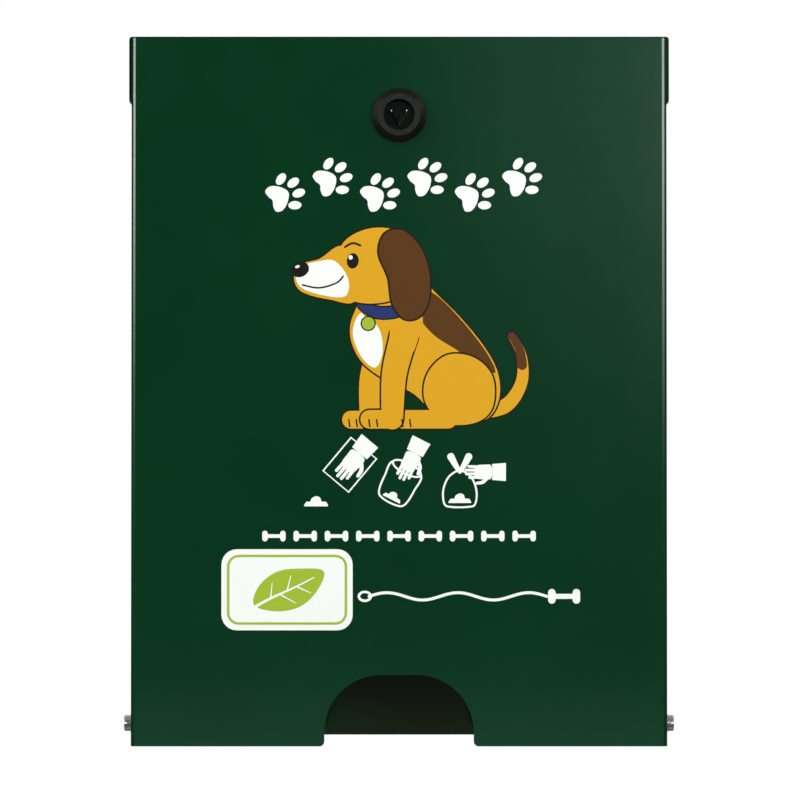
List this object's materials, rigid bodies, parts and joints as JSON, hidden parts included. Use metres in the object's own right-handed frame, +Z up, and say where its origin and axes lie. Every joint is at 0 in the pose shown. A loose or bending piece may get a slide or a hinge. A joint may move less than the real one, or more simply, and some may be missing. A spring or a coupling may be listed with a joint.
{
  "type": "dog waste bag dispenser",
  "caption": "Wall-mounted sheet-steel dispenser for dog waste bags: drip roof, hand opening in the lower edge, front cover that folds down when its triangular-key lock is opened.",
  "frame": {"origin": "centre of the four wall holes, on the face that lies against the wall", "axes": "+Z up, -Y towards the person using it, +Y into the wall, +X to that person's right"},
  "size_m": [0.2866, 0.0843, 0.3694],
  "materials": {
    "green_coat": "moss green powder coat, semi-gloss with a fine orange peel",
    "stainless": "turned stainless steel",
    "zinc_plate": "bright zinc plating",
    "rivet_aluminium": "plain satin",
    "lock_black": "black glass-filled nylon",
    "lock_core_black": "black coated zinc casting",
    "rubber": "matt black",
    "nylon": "natural nylon",
    "card": "uncoated grey-brown board",
    "bag_film": "thin black film in a stack"
  },
  "bodies": {
    "housing": {"back_housing": "green_coat", "roof_cap": "green_coat", "roof_rivets": "rivet_aluminium", "lock_keeper": "green_coat", "hanger_plate": "zinc_plate", "hanger_rivets": "rivet_aluminium", "bag_hook_left": "zinc_plate", "bag_hook_right": "zinc_plate", "clinch_nut_left": "zinc_plate", "clinch_nut_right": "zinc_plate", "pivot_spacer_left": "nylon", "pivot_spacer_right": "nylon", "pivot_washer_left": "stainless", "pivot_washer_right": "stainless", "pivot_screw_left": "stainless", "pivot_screw_right": "stainless", "header_card_1": "card", "header_card_2": "card", "header_card_3": "card", "bag_block_1": "bag_film", "bag_block_2": "bag_film", "bag_block_3": "bag_film"},
    "cover": {"front_cover": "green_coat", "lock_gasket": "rubber", "lock_body": "lock_black", "lock_nut": "zinc_plate"},
    "lock_core": {"lock_insert": "lock_core_black", "lock_o_ring": "rubber", "lock_cam": "zinc_plate", "cam_washer": "zinc_plate", "cam_screw": "zinc_plate"}
  },
  "joints": [
    {"name": "cover_hinge", "type": "hinge", "parent": "housing", "child": "cover", "pos_m": [0, -0.064, -0.173], "axis": [1, 0, 0], "range_deg": [0, 105]},
    {"name": "lock_turn", "type": "hinge", "parent": "cover", "child": "lock_core", "pos_m": [0, -0.064, 0.1432], "axis": [0, 1, 0], "range_deg": [0, 90]}
  ]
}
